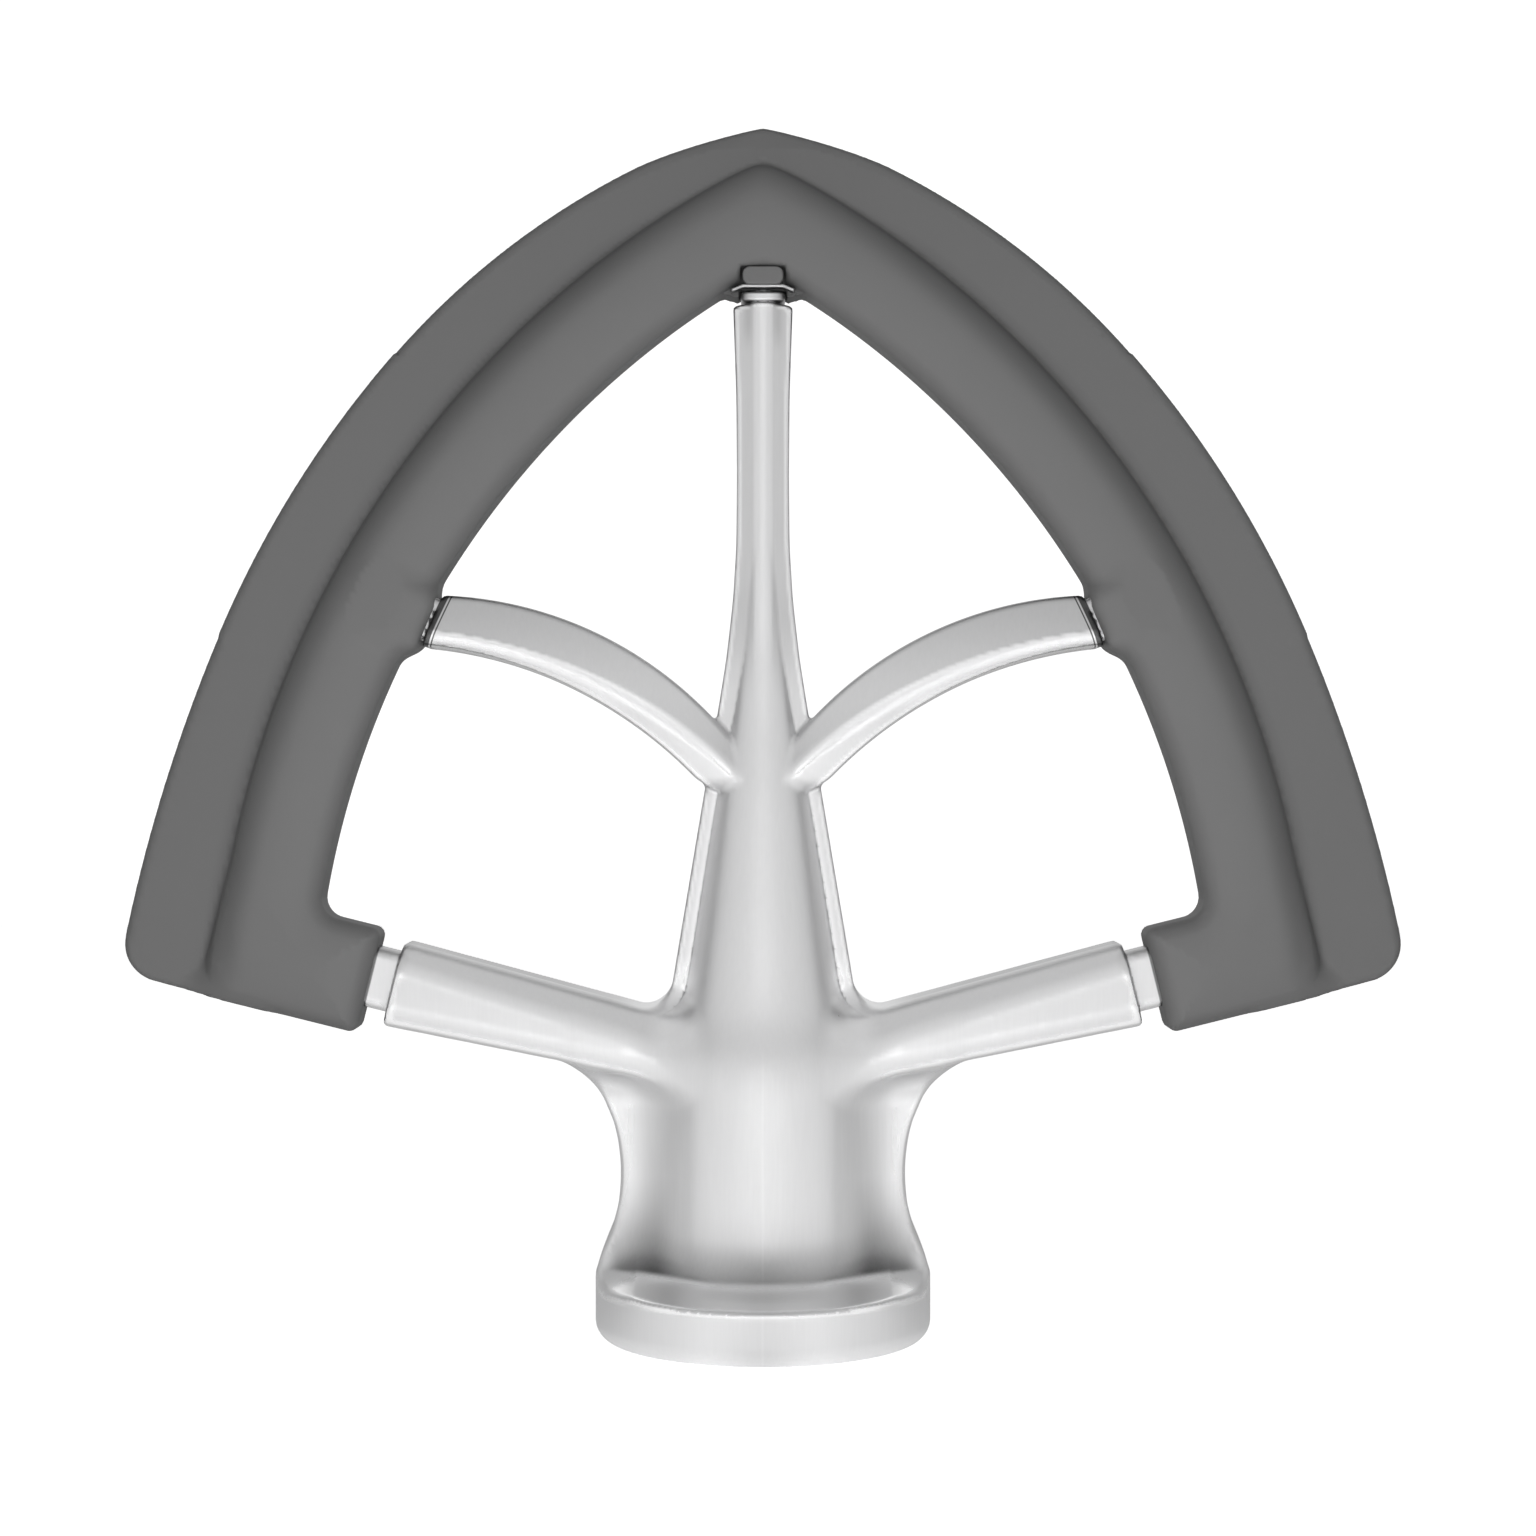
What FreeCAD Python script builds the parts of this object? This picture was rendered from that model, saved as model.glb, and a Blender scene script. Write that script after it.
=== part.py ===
import FreeCAD, Part
import math
import os
from FreeCAD import Vector

# Flat beater for a bowl-lift stand mixer, in millimetres.
# It stands on the end face of its hub collar: +Z runs up the shaft axis to the tip of the arch,
# +X runs across the arch and Y is the thickness. The origin is the centre of the bore's mouth.

# Rim: both halves of the pointed arch follow one arc, and meet on the shaft axis
rim_center_x = -52.1
rim_center_z = 34.0
rim_radius = 111.0
arc_overrun = 6.0

# Silicone roll round the rim, and its closed ends and bosses
roll_width = 11.6
roll_depth = 11.0
roll_slope_reach = 3.8
roll_slope_drop = 1.5
roll_inner_round = 1.8
roll_outer_round = 4.6
stub_length = 12.8
stub_above = 5.7
stub_below = 6.75
stub_end_round = 1.7
stub_overrun = 0.4
inner_corner_round = 2.2
boss_height = 8.4
boss_depth = 10.0
boss_proud = 1.1
boss_round = 2.2

# Scraping blade outside the roll: three tangent arcs, thinner at its free edge
blade_rise = 4.1
blade_first_inset = 19.1
blade_first_center_x = 26.1
blade_first_center_z = 21.2
blade_first_turn = 41.2
blade_second_turn = 22.8
blade_first_step = 31.0
blade_second_step = 68.6
blade_root_thickness = 3.6
blade_edge_thickness = 2.0
blade_corner_round = 4.4
blade_tip_round = 12.0

# Metal core that runs inside the roll
core_width = 7.2
core_depth = 6.6
core_corner = 1.6

# Hub: end collar, barrel, shoulder and shaft bore
collar_radius = 19.65
collar_height = 6.35
collar_foot_round = 2.4
collar_rim_round = 0.5
hub_base_z = 1.0
barrel_radius = 12.0
barrel_top_z = 33.3
foot_radius = 5.0
bore_radius = 6.35
bore_depth = 30.0
bore_lead = 0.6
bore_point_height = 1.9
pin_slot_width = 5.2
pin_slot_depth = 2.6
pin_slot_height = 17.5
pin_turn_angle = 48.0
pin_turn_height = 5.6

# Side webs between the collar and the lower arms
web_thickness = 6.0
web_base_inset = 0.45
web_rim_inset = 0.2
web_top_x = 22.6
web_top_drop = 2.2
web_waist_x = 16.6
web_waist_z = 19.6
web_foot_x = 18.6
web_foot_z = 11.2
web_shoulder_x = 17.9
web_shoulder_z = 27.3
web_edge_round = 1.0

# Spine and stem up the middle: a round core with a fin on each side
shoulder_top_radius = 9.9
shoulder_top_z = 37.4
shoulder_round = 6.0
spine_mid_radius = 6.0
spine_mid_z = 63.1
spine_upper_radius = 4.15
spine_upper_z = 72.5
rib_start_radius = 2.95
rib_start_z = 81.9
rib_radius = 2.42
rib_full_z = 94.0
fin_thickness = 4.4
fin_root_x = 10.65
fin_root_z = 41.4
fin_root_sink = 2.0
fin_upper_x = 5.05
fin_upper_z = 74.9
stem_mid_x = 3.75
stem_mid_z = 84.2
stem_waist_x = 3.05
stem_waist_drop = 20.0
stem_top_x = 3.5
stem_top_drop = 11.0
stem_dome = 0.8
fin_edge_round = 0.4
fin_foot_round = 4.7

# Lower arms, straight, deeper at the hub, with a bevel along the top that widens towards it
lower_arm_slope = 14.0
lower_arm_axis_z = 31.03
lower_neck_length = 2.9
lower_arm_end_height = 10.0
lower_arm_root_top = 4.0
lower_arm_root_bottom = 2.5
lower_arm_end_depth = 10.0
lower_arm_root_depth = 16.4
lower_arm_end_bevel = 2.7
lower_arm_root_bevel = 5.2
lower_arm_bevel_arch = (0.5, 1.4)
lower_arm_bevel_slope = 0.7
lower_arm_end_chin = 1.45
lower_arm_root_chin = 0.6
lower_arm_chin_slope = 0.7
arm_end_round = 0.5
neck_overlap = 2.0

# Upper arms, arched, with a roof-shaped section
upper_arm_angle = 28.9
upper_arm_end_height = 6.6
upper_arm_ridge_share = 0.77
upper_neck_length = 0.55
upper_neck_height = 4.4
upper_neck_depth = 5.2
upper_arm_depth = 10.0
upper_arm_top_inset = 1.9
upper_arm_bottom_inset = 1.3
upper_arm_ridge_round = 1.5
upper_arm_root_x = 2.0
upper_arm_root_top_z = 68.1
upper_arm_root_ridge_z = 65.2
upper_arm_root_bottom_z = 58.4
upper_arm_top_arch = (0.50, 10.0)
upper_arm_ridge_arch = (0.352, 6.7)
upper_arm_bottom_arch = (0.50, 10.3)

# Seat of the stem in the tip of the arch
ring_radius = 2.6
ring_height = 1.0
flange_height = 1.1
flange_half_width = 3.6
flange_depth = 7.6
flange_bevel = 0.75
plug_half_width = 2.6
plug_height = 2.25
plug_depth = 9.0
plug_round = 0.45
gusset_half_width = 4.8
gusset_depth = 4.4
gusset_ring_gap = 0.1
pocket_top_play = 0.2
pocket_flare = 0.5
pocket_reach = 2.0
pocket_mouth_play = 0.5
neck_radius = 2.2

# Values worked out from the sizes above
up = Vector(0, 0, 1)
across = Vector(0, 1, 0)
rim_center = Vector(rim_center_x, 0, rim_center_z)
roll_outer_radius = rim_radius + roll_width / 2
roll_inner_radius = rim_radius - roll_width / 2
roll_half_depth = roll_depth / 2
roll_edge_half = roll_half_depth - roll_slope_drop
arm_origin = Vector(0, 0, lower_arm_axis_z)
arm_along = Vector(math.cos(math.radians(lower_arm_slope)), 0, math.sin(math.radians(lower_arm_slope)))
arm_up = Vector(-arm_along.z, 0, arm_along.x)
radial = Vector(math.cos(math.radians(upper_arm_angle)), 0, math.sin(math.radians(upper_arm_angle)))
tangential = Vector(-radial.z, 0, radial.x)


def arm_reach(radius, above=0.0, center=rim_center):
    """Distance along the lower arm's axis, or a line above it, to a circle in the plane of the arch."""
    start = arm_origin + arm_up * above - center
    along = start.dot(arm_along)
    return -along + math.sqrt(along ** 2 - start.dot(start) + radius ** 2)


def on_axis_height(radius):
    """Height where a circle about the rim's centre crosses the shaft axis."""
    return rim_center_z + math.sqrt(radius ** 2 - rim_center_x ** 2)


stub_end = arm_reach(rim_radius) - stub_length
lower_arm_end = stub_end - lower_neck_length
boss_face_radius = roll_inner_radius - boss_proud
upper_arm_end_radius = boss_face_radius - upper_neck_length
stem_top_z = on_axis_height(rim_radius) - stem_top_drop
stem_waist_z = stem_top_z - stem_waist_drop
ring_base_z = stem_top_z + stem_dome
flange_base_z = ring_base_z + ring_height
plug_base_z = flange_base_z + flange_height
plug_top_z = plug_base_z + plug_height
blade_tip = Vector(0, 0, on_axis_height(roll_outer_radius) + blade_rise)


def arm_point(along, above, y=0.0):
    """A point given along and above the lower arm's axis."""
    return arm_origin + arm_along * along + arm_up * above + across * y


def rim_point(radius, above, y=0.0):
    """A point given along and above the upper arm's radius of the rim."""
    return rim_center + radial * radius + tangential * above + across * y


def polygon_face(points):
    return Part.Face(Part.makePolygon(points + points[:1]))


def lift(points, depth):
    """Prism of a plan outline, centred on the plane of the arch."""
    shift = across * (depth / 2)
    return polygon_face([p - shift for p in points]).extrude(across * depth)


def rounded_prism(corners, rounds, along, length):
    """Prism of an outline whose corners each have their own rounding, or none."""
    prism = polygon_face(corners).extrude(along * length)
    for radius in sorted(set(rounds) - {0}):
        places = [c + along * (length / 2) for c, r in zip(corners, rounds) if r == radius]
        edges = [e for e in prism.Edges if any(e.CenterOfMass.distanceToPoint(p) < 1e-6 for p in places)]
        prism = prism.makeFillet(radius, edges)
    return prism


def rounded_bar(start, along, length, above, below, depth, corner):
    """Bar along a direction in the plane of the arch, its four long edges rounded."""
    side = Vector(-along.z, 0, along.x)
    half = across * (depth / 2)
    corners = [start + side * above - half, start + side * above + half,
               start - side * below + half, start - side * below - half]
    return rounded_prism(corners, [corner] * 4, along, length)


def strip_solid(rails):
    """Solid inside a ring of lengthwise edges, joined by ruled faces and closed at both ends."""
    faces = [Part.makeRuledSurface(a, b) for a, b in zip(rails, rails[1:] + rails[:1])]
    for parameter in ("FirstParameter", "LastParameter"):
        faces.append(polygon_face([r.valueAt(getattr(r, parameter)) for r in rails]))
    shell = Part.makeShell(faces)
    shell.sewShape()
    return Part.makeSolid(shell)


def arched_edge(outer, inner, arch=(0.5, 0.0)):
    """Edge between two points, pulled up in the plane of the arch at a share of its length."""
    share, rise = arch
    run = inner - outer
    normal = Vector(run.z, 0, -run.x).normalize()
    curve = Part.BezierCurve()
    curve.setPoles([outer, outer + run * share + normal * rise, inner])
    return curve.toShape()


def both_sides(solid):
    return [solid, solid.mirror(Vector(0, 0, 0), Vector(1, 0, 0))]


def fuse_all(solids):
    return solids[0].multiFuse(solids[1:])


def hollow_corner(corner, first, second, radius):
    """Closed outline that fills the corner between two walls with a concave round of that radius. The
    walls leave the corner in the two given directions."""
    half_angle = first.getAngle(second) / 2
    middle = (first + second).normalize()
    run = radius / math.tan(half_angle)
    bottom = corner + middle * (radius / math.sin(half_angle) - radius)
    inside = corner - middle * radius
    curve = Part.Arc(corner + first * run, bottom, corner + second * run).toShape()
    return Part.Wire([curve, Part.makeLine(corner + second * run, inside),
                      Part.makeLine(inside, corner + first * run)])


def bent_bar(corners, rounds):
    """A section, given by its distances from the rim's centre and its depths, carried along the rim's arc
    from the lower arm's axis to the shaft axis."""
    reach = max(distance for distance, _ in corners)
    block = rounded_prism([Vector(distance, y, 0) for distance, y in corners], rounds, up, reach)
    face = [f for f in block.Faces if abs(f.CenterOfMass.z) < 1e-6][0].translated(rim_center)
    crossing = arm_point(arm_reach(rim_radius), 0) - rim_center
    low = math.degrees(math.atan2(crossing.z, crossing.x))
    top = math.degrees(math.acos(-rim_center_x / reach)) + arc_overrun
    face.rotate(rim_center, across, -low)
    bar = face.revolve(rim_center, across, low - top)
    return bar.common(Part.makeBox(2 * reach, 2 * reach, 2 * reach, Vector(0, -reach, 0)))


def roll():
    """Right-hand half of the roll: its faces slope back to a tight edge inside the arch, and are widely
    rounded where the blade leaves."""
    shoulder = roll_inner_radius + roll_slope_reach
    corners = [(roll_inner_radius, -roll_edge_half), (shoulder, -roll_half_depth),
               (roll_outer_radius, -roll_half_depth), (roll_outer_radius, roll_half_depth),
               (shoulder, roll_half_depth), (roll_inner_radius, roll_edge_half)]
    return bent_bar(corners, [roll_inner_round, 0, roll_outer_round, roll_outer_round, 0, roll_inner_round])


def arch_core():
    """Right-hand half of the metal core: the bend of the rim and the straight run to the lower arm."""
    start = arm_point(lower_arm_end - neck_overlap, 0)
    half_width = core_width / 2
    length = arm_reach(rim_radius) + half_width - lower_arm_end + neck_overlap
    run = rounded_bar(start, arm_along, length, half_width, half_width, core_depth, core_corner)
    near, far, deep = rim_radius - half_width, rim_radius + half_width, core_depth / 2
    bend = bent_bar([(near, -deep), (far, -deep), (far, deep), (near, deep)], [core_corner] * 4)
    return bend.fuse(run)


def round_end(solid, place, radius):
    """Rounds the edges of the end face whose middle is nearest to a place."""
    face = min(solid.Faces, key=lambda f: f.CenterOfMass.distanceToPoint(place))
    return solid.makeFillet(radius, face.Edges)


def lower_arm():
    """Right-hand lower arm: eight rails from its end face to the shaft axis."""
    half = lower_arm_end_height / 2
    end = lower_arm_end_depth / 2
    root = lower_arm_root_depth / 2
    straight = (0.5, 0.0)
    lines = [(half, end - lower_arm_end_bevel * lower_arm_bevel_slope,
              lower_arm_root_top, root - lower_arm_root_bevel * lower_arm_bevel_slope, straight),
             (half - lower_arm_end_bevel, end,
              lower_arm_root_top - lower_arm_root_bevel, root, lower_arm_bevel_arch),
             (lower_arm_end_chin - half, end, lower_arm_root_chin - lower_arm_root_bottom, root, straight),
             (-half, end - lower_arm_end_chin * lower_arm_chin_slope,
              -lower_arm_root_bottom, root - lower_arm_root_chin * lower_arm_chin_slope, straight)]
    rails = [arched_edge(arm_point(lower_arm_end, s, -y), arm_point(0, s2, -y2), arch)
             for s, y, s2, y2, arch in lines]
    rails += [arched_edge(arm_point(lower_arm_end, s, y), arm_point(0, s2, y2), arch)
              for s, y, s2, y2, arch in reversed(lines)]
    return round_end(strip_solid(rails), arm_point(lower_arm_end, 0), arm_end_round)


def upper_arm():
    """Right-hand upper arm: six arched rails from its end face to the spine."""
    half = upper_arm_end_height / 2
    ridge = half - upper_arm_ridge_share * upper_arm_end_height
    deep = upper_arm_depth / 2
    lines = [(half, upper_arm_root_top_z, deep - upper_arm_top_inset, upper_arm_top_arch),
             (ridge, upper_arm_root_ridge_z, deep, upper_arm_ridge_arch),
             (-half, upper_arm_root_bottom_z, deep - upper_arm_bottom_inset, upper_arm_bottom_arch)]
    front = [(s, z, -y, arch) for s, z, y, arch in lines]
    back = list(reversed(lines))
    rails = [arched_edge(rim_point(upper_arm_end_radius, s, y), Vector(upper_arm_root_x, y, z), arch)
             for s, z, y, arch in front + back]
    arm = strip_solid(rails)
    ridges = [e for e in arm.Edges if min(abs(v.Point.y) for v in e.Vertexes) > deep - 1e-6]
    return arm.makeFillet(upper_arm_ridge_round, ridges)


def upper_neck():
    """Neck of the upper arm, from inside the arm's end to the middle of the core."""
    start = rim_point(upper_arm_end_radius - neck_overlap, 0)
    length = rim_radius - upper_arm_end_radius + neck_overlap
    half = upper_neck_height / 2
    return rounded_bar(start, radial, length, half, half, upper_neck_depth, core_corner)


def turned(profile):
    """Solid of revolution about the shaft axis, from a list of edges in the XZ plane."""
    return Part.Face(Part.Wire(profile)).revolve(Vector(0, 0, 0), up, 360)


def hub_core():
    """Barrel, shoulder, tapering spine core and the fine rib up the stem, turned about the shaft axis."""
    points = [Vector(0, 0, hub_base_z), Vector(barrel_radius, 0, hub_base_z),
              Vector(barrel_radius, 0, barrel_top_z),
              Vector(shoulder_top_radius, 0, shoulder_top_z), Vector(spine_mid_radius, 0, spine_mid_z),
              Vector(spine_upper_radius, 0, spine_upper_z)]
    full = Vector(rib_radius, 0, rib_full_z)
    blend = Part.Arc(points[-1], Vector(rib_start_radius, 0, rib_start_z), full).toShape()
    edges = [Part.makeLine(a, b) for a, b in zip(points, points[1:])] + [blend]
    end = [full, Vector(rib_radius, 0, stem_top_z), Vector(0, 0, stem_top_z), points[0]]
    edges += [Part.makeLine(a, b) for a, b in zip(end, end[1:])]
    core = turned(edges)
    soft = [e for e in core.Edges if e.Closed and e.CenterOfMass.z in (barrel_top_z, shoulder_top_z)]
    return core.makeFillet(shoulder_round, soft)


def collar():
    """Round end collar with a rounded foot and a fine rim."""
    disc = Part.makeCylinder(collar_radius, collar_height)
    disc = disc.makeFillet(collar_foot_round, [e for e in disc.Edges if e.Closed and e.CenterOfMass.z < 1e-6])
    top = max(e.CenterOfMass.z for e in disc.Edges if e.Closed)
    return disc.makeFillet(collar_rim_round, [e for e in disc.Edges if e.Closed and e.CenterOfMass.z == top])


def hub_foot():
    """Concave foot of the barrel and of both webs on the collar's face."""
    top = up * collar_height
    east = Vector(1, 0, 0)
    outline = hollow_corner(top + east * barrel_radius, east, up, foot_radius)
    pieces = [Part.Face(outline).revolve(Vector(0, 0, 0), up, 360)]
    for side in (across, -across):
        outline = hollow_corner(top + side * (web_thickness / 2), side, up, foot_radius)
        pieces.append(Part.Face(outline.translated(east * -collar_radius)).extrude(east * 2 * collar_radius))
    limit = Part.makeCone(collar_radius, 2 * web_foot_x - collar_radius, 2 * foot_radius, top)
    return [piece.common(limit) for piece in pieces]


def curved_plate(flank, closing, thickness, round_size):
    """Plate whose free side is a smooth curve through points, rounded on both faces along it."""
    curve = Part.BSplineCurve()
    curve.interpolate([Vector(x, 0, z) for x, z in flank])
    side = curve.toShape()
    corners = [Vector(x, 0, z) for x, z in [flank[-1]] + closing + [flank[0]]]
    outline = Part.Wire([side] + [Part.makeLine(a, b) for a, b in zip(corners, corners[1:])])
    plate = Part.Face(outline).translated(across * (-thickness / 2)).extrude(across * thickness)
    return plate.makeFillet(round_size, [e for e in plate.Edges if abs(e.Length - side.Length) < 1e-6])


def web():
    """Right-hand web: from inside the collar, in to the waist and out to the lower arm."""
    arm = arm_point(web_top_x, 0)
    flank = [(collar_radius - web_base_inset, hub_base_z), (collar_radius - web_rim_inset, collar_height),
             (web_foot_x, web_foot_z), (web_waist_x, web_waist_z), (web_shoulder_x, web_shoulder_z),
             (web_top_x, arm.z - web_top_drop)]
    return curved_plate(flank, [(0, barrel_top_z), (0, hub_base_z)], web_thickness, web_edge_round)


def fin():
    """Right-hand fin: a straight taper up from the shoulder, then the waist and head of the stem."""
    middle = ((fin_root_x + fin_upper_x) / 2, (fin_root_z + fin_upper_z) / 2)
    flank = [(fin_root_x, fin_root_z), middle, (fin_upper_x, fin_upper_z), (stem_mid_x, stem_mid_z),
             (stem_waist_x, stem_waist_z), (stem_top_x, stem_top_z)]
    floor = shoulder_top_z - fin_root_sink
    return curved_plate(flank, [(0, stem_top_z + stem_dome), (0, floor), (fin_root_x, floor)],
                        fin_thickness, fin_edge_round)


def fin_foot():
    """Concave corner between the fin and the top of the right-hand lower arm."""
    arm_top = arm_point(0, lower_arm_root_top)
    along = (arm_point(lower_arm_end, lower_arm_end_height / 2) - arm_top).normalize()
    root = Vector(fin_root_x, 0, fin_root_z)
    rise = (Vector(fin_upper_x, 0, fin_upper_z) - root).normalize()
    gap = root - arm_top
    corner = arm_top + along * ((gap.x * rise.z - gap.z * rise.x) / (along.x * rise.z - along.z * rise.x))
    outline = hollow_corner(corner, along, rise, fin_foot_round)
    return Part.Face(outline).translated(across * (-fin_thickness / 2)).extrude(across * fin_thickness)


def stem_seat():
    """Ring, bevelled flange and neck that carry the tip of the arch on the stem."""
    ring = Part.makeCylinder(ring_radius, ring_height + stem_dome, Vector(0, 0, stem_top_z))
    neck = Part.makeCylinder(neck_radius, on_axis_height(rim_radius) - ring_base_z,
                             Vector(0, 0, ring_base_z))
    corner = Vector(-flange_half_width, -flange_depth / 2, flange_base_z)
    plate = Part.makeBox(2 * flange_half_width, flange_depth, flange_height, corner)
    top = [e for e in plate.Edges if e.CenterOfMass.z > plug_base_z - 0.01]
    return [ring, neck, plate.makeChamfer(flange_bevel, top)]


def shaft_bore():
    """Blind bore with a lead-in and the bayonet slot that turns the drive pin into place."""
    bore = Part.makeCylinder(bore_radius, bore_depth)
    lead = Part.makeCone(bore_radius + bore_lead, bore_radius, bore_lead)
    reach = bore_radius + pin_slot_depth
    slot = Part.makeBox(reach, pin_slot_width, pin_slot_height, Vector(0, -pin_slot_width / 2, 0))
    slot.rotate(Vector(0, 0, 0), up, 90)
    turn = Part.makeCylinder(reach, pin_turn_height, Vector(0, 0, pin_slot_height - pin_turn_height), up,
                             pin_turn_angle)
    turn.rotate(Vector(0, 0, 0), up, 90)
    tip_cone = Part.makeCone(bore_radius, 0, bore_point_height, Vector(0, 0, bore_depth))
    return bore.multiFuse([lead, slot, turn, tip_cone])


def beater_frame():
    """The whole casting as one solid."""
    halves = [arch_core(), lower_arm(), upper_arm(), upper_neck(), web(), fin(), fin_foot()]
    solids = [hub_core(), collar()] + hub_foot() + stem_seat()
    for half in halves:
        solids += both_sides(half)
    return fuse_all(solids).cut(shaft_bore()).removeSplitter()


def blade_arcs():
    """Centres and radii of the free edge's three tangent arcs, from the tip down."""
    center = rim_center + Vector(blade_first_center_x, 0, blade_first_center_z)
    radius = rim_radius - blade_first_inset
    arcs = [(center, radius)]
    for turn, step in ((blade_first_turn, blade_first_step), (blade_second_turn, blade_second_step)):
        angle = math.radians(turn)
        center = center - Vector(math.cos(angle), 0, math.sin(angle)) * step
        radius += step
        arcs.append((center, radius))
    return arcs


def blade():
    """Right-hand blade: its free edge bends faster than the rim, so that it widens towards the foot."""
    arcs = blade_arcs()
    last_center, last_radius = arcs[-1]
    corner = arm_point(arm_reach(last_radius, -stub_below, last_center), -stub_below)
    turns = [math.degrees(math.asin((blade_tip.z - arcs[0][0].z) / arcs[0][1])), blade_first_turn,
             blade_second_turn, math.degrees(math.asin((corner.z - last_center.z) / last_radius))]
    points = []
    for (center, radius), start, end in zip(arcs, turns, turns[1:]):
        for share in (0, 1 / 3, 2 / 3):
            angle = math.radians(start + (end - start) * share)
            points.append(center + Vector(math.cos(angle), 0, math.sin(angle)) * radius)
    free = Part.BSplineCurve()
    free.interpolate([blade_tip] + points[1:] + [corner])
    foot = arm_point(arm_reach(rim_radius, -stub_below), -stub_below)
    top = Vector(0, 0, on_axis_height(rim_radius))
    turn = (math.atan2(foot.z - rim_center_z, foot.x - rim_center_x)
            + math.atan2(top.z - rim_center_z, -rim_center_x)) / 2
    middle = rim_center + Vector(math.cos(turn), 0, math.sin(turn)) * rim_radius
    root = Part.Arc(top, middle, foot)
    edge_half = across * (blade_edge_thickness / 2)
    root_half = across * (blade_root_thickness / 2)
    rails = [free.toShape().translated(edge_half), root.toShape().translated(root_half),
             root.toShape().translated(-root_half), free.toShape().translated(-edge_half)]
    plate = strip_solid(rails)
    corner_edge = [e for e in plate.Edges if e.CenterOfMass.distanceToPoint(corner) < 1e-4]
    return plate.makeFillet(blade_corner_round, corner_edge)


def whole_blade():
    """Both halves of the blade, the free edge rounded at the tip."""
    halves = fuse_all(both_sides(blade()))
    tip_edge = [e for e in halves.Edges if e.CenterOfMass.distanceToPoint(blade_tip) < 1e-4]
    return halves.makeFillet(blade_tip_round, tip_edge)


def closed_end():
    """Right-hand closed end of the roll, along the lower arm's axis, and the hollow corner above it."""
    far_end = arm_reach(roll_outer_radius) + stub_overrun
    section = [(stub_above, roll_edge_half), (stub_above - roll_slope_reach, roll_half_depth),
               (roll_slope_reach - stub_below, roll_half_depth), (-stub_below, roll_edge_half)]
    corners = [arm_point(stub_end, s, -y) for s, y in section]
    corners += [arm_point(stub_end, s, y) for s, y in reversed(section)]
    rounds = [roll_inner_round, 0, 0, roll_inner_round]
    bar = rounded_prism(corners, rounds + rounds, arm_along, far_end - stub_end)
    bar = round_end(bar, arm_point(stub_end, 0), stub_end_round)
    plan = [arm_point(along, -stub_below, y) for along, y in
            ((stub_end, -roll_half_depth), (far_end, -roll_half_depth),
             (far_end, roll_half_depth), (stub_end, roll_half_depth))]
    bar = bar.common(rounded_prism(plan, [0, roll_outer_round, roll_outer_round, 0], arm_up,
                                   stub_above + stub_below))
    corner = arm_point(arm_reach(roll_inner_radius, stub_above), stub_above)
    radius = corner - rim_center
    rise = Vector(-radius.z, 0, radius.x).normalize()
    outline = Part.Face(hollow_corner(corner, -arm_along, rise, inner_corner_round))
    thickness = 2 * (roll_edge_half - roll_inner_round)
    return bar.fuse(outline.translated(across * (-thickness / 2)).extrude(across * thickness))


def boss():
    """Right-hand boss of the roll round the upper arm's neck."""
    half = boss_height / 2
    return rounded_bar(rim_point(boss_face_radius, 0), radial, rim_radius - boss_face_radius, half, half,
                       boss_depth, boss_round)


def tip_pocket(side):
    """Flared pocket in one face of the roll, where the plug sits: narrow at its floor, wide at the face."""
    top = plug_top_z + pocket_top_play
    low = ring_base_z - pocket_reach
    floor_half = plug_half_width + pocket_top_play
    mouth_half = floor_half + pocket_flare * (top - low)
    outlines = []
    for half, y in ((floor_half, gusset_depth / 2), (mouth_half, roll_half_depth + pocket_mouth_play)):
        corners = [Vector(-half, side * y, low), Vector(-floor_half, side * y, top),
                   Vector(floor_half, side * y, top), Vector(half, side * y, low)]
        outlines.append(Part.makePolygon(corners + corners[:1]))
    return Part.makeLoft(outlines, True)


def gusset_z():
    """Height of the roll's inner edge where the gusset starts."""
    return rim_center_z + math.sqrt(roll_inner_radius ** 2 - (gusset_half_width - rim_center_x) ** 2)


def tip_gusset():
    """Thin wall between both halves of the roll, just above the stem."""
    wide = gusset_half_width
    narrow = ring_radius + gusset_ring_gap
    corners = [Vector(-wide, 0, gusset_z()), Vector(-narrow, 0, ring_base_z), Vector(narrow, 0, ring_base_z),
               Vector(wide, 0, gusset_z()), Vector(0, 0, on_axis_height(rim_radius))]
    return lift(corners, gusset_depth)


def plug():
    """Block that closes the pocket over the stem's neck."""
    block = Part.makeBox(2 * plug_half_width, plug_depth, plug_height,
                         Vector(-plug_half_width, -plug_depth / 2, plug_base_z))
    deep = [e for e in block.Edges if abs(e.tangentAt(0).y) > 0.9]
    return block.makeFillet(plug_round, deep)


def silicone_edge(frame):
    """The whole silicone moulding, open where the frame's core and necks run through it."""
    solids = [whole_blade()]
    for half in (roll(), closed_end(), boss()):
        solids += both_sides(half)
    body = fuse_all(solids)
    body = body.cut(tip_pocket(-1)).cut(tip_pocket(1))
    body = body.multiFuse([tip_gusset(), plug()])
    return body.cut(frame).removeSplitter()


os.makedirs("parts", exist_ok=True)
frame = beater_frame()
frame.exportStep("parts/beater_frame.step")
silicone_edge(frame).exportStep("parts/silicone_edge.step")
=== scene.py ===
import math

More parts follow.
